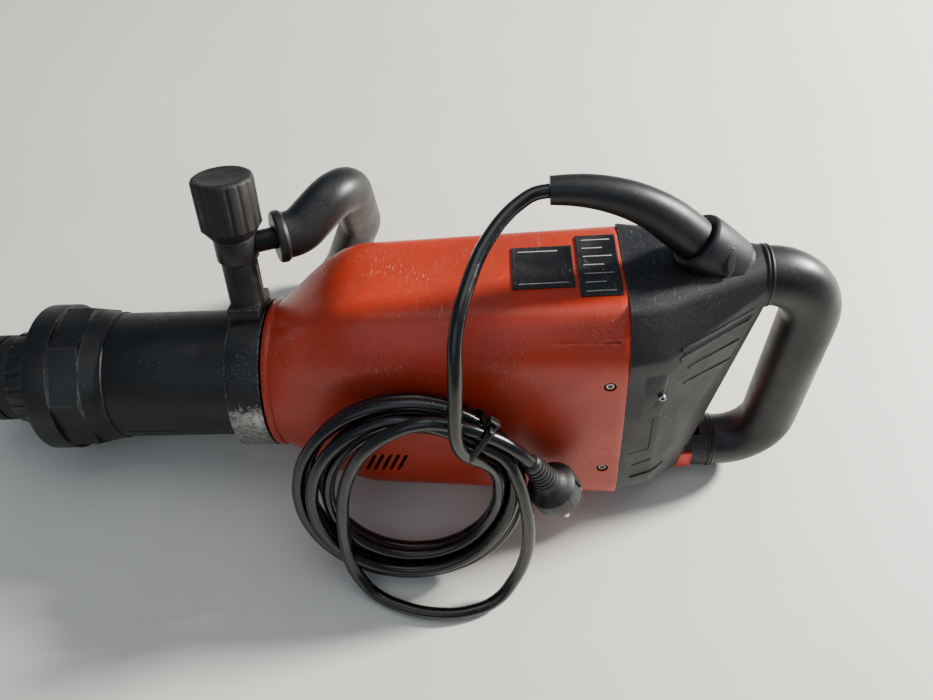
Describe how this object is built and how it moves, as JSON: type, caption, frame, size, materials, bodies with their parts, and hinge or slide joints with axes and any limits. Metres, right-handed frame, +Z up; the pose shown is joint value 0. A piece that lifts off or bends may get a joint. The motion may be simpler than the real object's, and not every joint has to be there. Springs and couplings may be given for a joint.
{
  "type": "electric demolition hammer",
  "caption": "Electric demolition hammer with chuck, clamped side handle, D-handle, rocker switch and a coiled mains lead, lying on its side.",
  "frame": {"origin": "on the table, under the centre of the tool's own box, without its lead", "axes": "+X towards the D-handle, +Y away from the side that shows the wound lead, +Z up"},
  "size_m": [0.6439, 0.332, 0.2706],
  "materials": {
    "red_shell": "scuffed textured moulding",
    "black_shell": "fine spark-eroded texture",
    "soft_grip": "soft-touch over-moulding",
    "red_switch": "satin",
    "painted_steel": "black paint worn to bare steel at the edges",
    "black_painted_cast": "matte black paint over casting",
    "bright_steel": "ground",
    "grey_steel": "oiled",
    "cast_alloy": "as cast",
    "copper": "enamelled wire and bars",
    "carbon": "pressed carbon",
    "contact_brass": "stamped",
    "board": "potted",
    "cream_plastic": "moulded",
    "cable_rubber": "glossy black rubber sheath",
    "seal_rubber": "oiled",
    "dull_rubber": "dusty",
    "plate_film": "printed film, blank",
    "nickel": "nickel plated"
  },
  "bodies": {
    "housing": {"red_housing": "red_shell", "rear_housing": "black_shell", "service_hatch": "black_shell", "hatch_screw": "bright_steel", "handle_grip": "soft_grip", "switch_pin": "bright_steel", "switch_module": "black_shell", "neck_cover": "black_painted_cast", "front_cap": "black_painted_cast", "front_cap_screws": "bright_steel", "sleeve_spring": "bright_steel", "dust_cap": "dull_rubber", "tool_holder": "grey_steel", "anvil_seal": "seal_rubber", "barrel": "cast_alloy", "cylinder_liner": "bright_steel", "crank_bearing": "bright_steel", "gear_case": "cast_alloy", "gear_case_lid": "cast_alloy", "stator": "grey_steel", "windings": "copper", "motor_bearings": "bright_steel", "brush_holders": "contact_brass", "carbon_brushes": "carbon", "electronics_box": "board", "terminal_block": "cream_plastic", "cord_clamp": "black_shell", "cord_boot": "soft_grip", "lead_tube": "cable_rubber", "lead_coil": "cable_rubber", "lead_loop": "cable_rubber", "lead_tail": "cable_rubber", "cable_tie": "black_shell", "plug_body": "dull_rubber", "plug_pins": "nickel", "label_plate": "plate_film", "rating_plate": "plate_film", "housing_screws": "bright_steel"},
    "side_handle": {"clamp_band": "painted_steel", "clamp_post": "painted_steel", "clamp_stud": "bright_steel", "bow_bar": "painted_steel", "bow_grip": "soft_grip", "bow_bolt": "bright_steel"},
    "knob": {"clamp_knob": "dull_rubber"},
    "chuck_sleeve": {"chuck_sleeve": "painted_steel"},
    "switch_rocker": {"switch_lever": "red_switch"},
    "crank": {"crank_gear": "grey_steel"},
    "conrod": {"conrod": "cast_alloy", "piston_pin": "bright_steel"},
    "piston": {"piston": "cast_alloy", "piston_ring": "seal_rubber"},
    "ram": {"ram": "grey_steel", "ram_ring": "seal_rubber"},
    "anvil": {"anvil": "bright_steel"},
    "rotor": {"rotor_shaft": "bright_steel", "armature": "grey_steel", "commutator": "copper", "cooling_fan": "black_shell"}
  },
  "joints": [
    {"name": "band_swivel", "type": "hinge", "parent": "housing", "child": "side_handle", "pos_m": [-0.1041, -0.0437, 0.07553], "axis": [0.9928, 0, 0.1196], "range_deg": [-60, 60]},
    {"name": "knob_turn", "type": "hinge", "parent": "side_handle", "child": "knob", "pos_m": [-0.11741, 0.00125, 0.186], "axis": [-0.1109, 0.3746, 0.9205], "continuous": true},
    {"name": "chuck_sleeve_slide", "type": "slide", "parent": "housing", "child": "chuck_sleeve", "axis": [0.9928, 0, 0.1196], "range_m": [0, 0.007], "stiffness_N_per_m": 3000, "springref_m": -0.004},
    {"name": "switch_rock", "type": "hinge", "parent": "housing", "child": "switch_rocker", "pos_m": [0.23619, -0.05724, 0.03917], "axis": [-0.0208, -0.9848, 0.1724], "range_deg": [0, 5]},
    {"name": "crank_spin", "type": "hinge", "parent": "housing", "child": "crank", "pos_m": [0.03241, -0.0437, 0.09198], "axis": [-0.1178, 0.1736, 0.9777], "continuous": true},
    {"name": "rotor_spin", "type": "hinge", "parent": "housing", "child": "rotor", "pos_m": [0.08714, -0.0437, 0.09858], "axis": [-0.1178, 0.1736, 0.9777], "continuous": true},
    {"name": "conrod_swing", "type": "hinge", "parent": "crank", "child": "conrod", "pos_m": [0.04829, -0.0437, 0.0939], "axis": [-0.1178, 0.1736, 0.9777], "continuous": true},
    {"name": "piston_slide", "type": "slide", "parent": "housing", "child": "piston", "axis": [0.9928, 0, 0.1196], "range_m": [-0.032, 0]},
    {"name": "ram_slide", "type": "slide", "parent": "housing", "child": "ram", "axis": [0.9928, 0, 0.1196], "range_m": [-0.028, 0]},
    {"name": "anvil_slide", "type": "slide", "parent": "housing", "child": "anvil", "axis": [0.9928, 0, 0.1196], "range_m": [-0.003, 0.006]}
  ],
  "couplings": [
    {"joint": "rotor_spin", "follows": "crank_spin", "ratio": -4.7273},
    {"joint": "conrod_swing", "follows": "crank_spin", "ratio": -1}
  ]
}
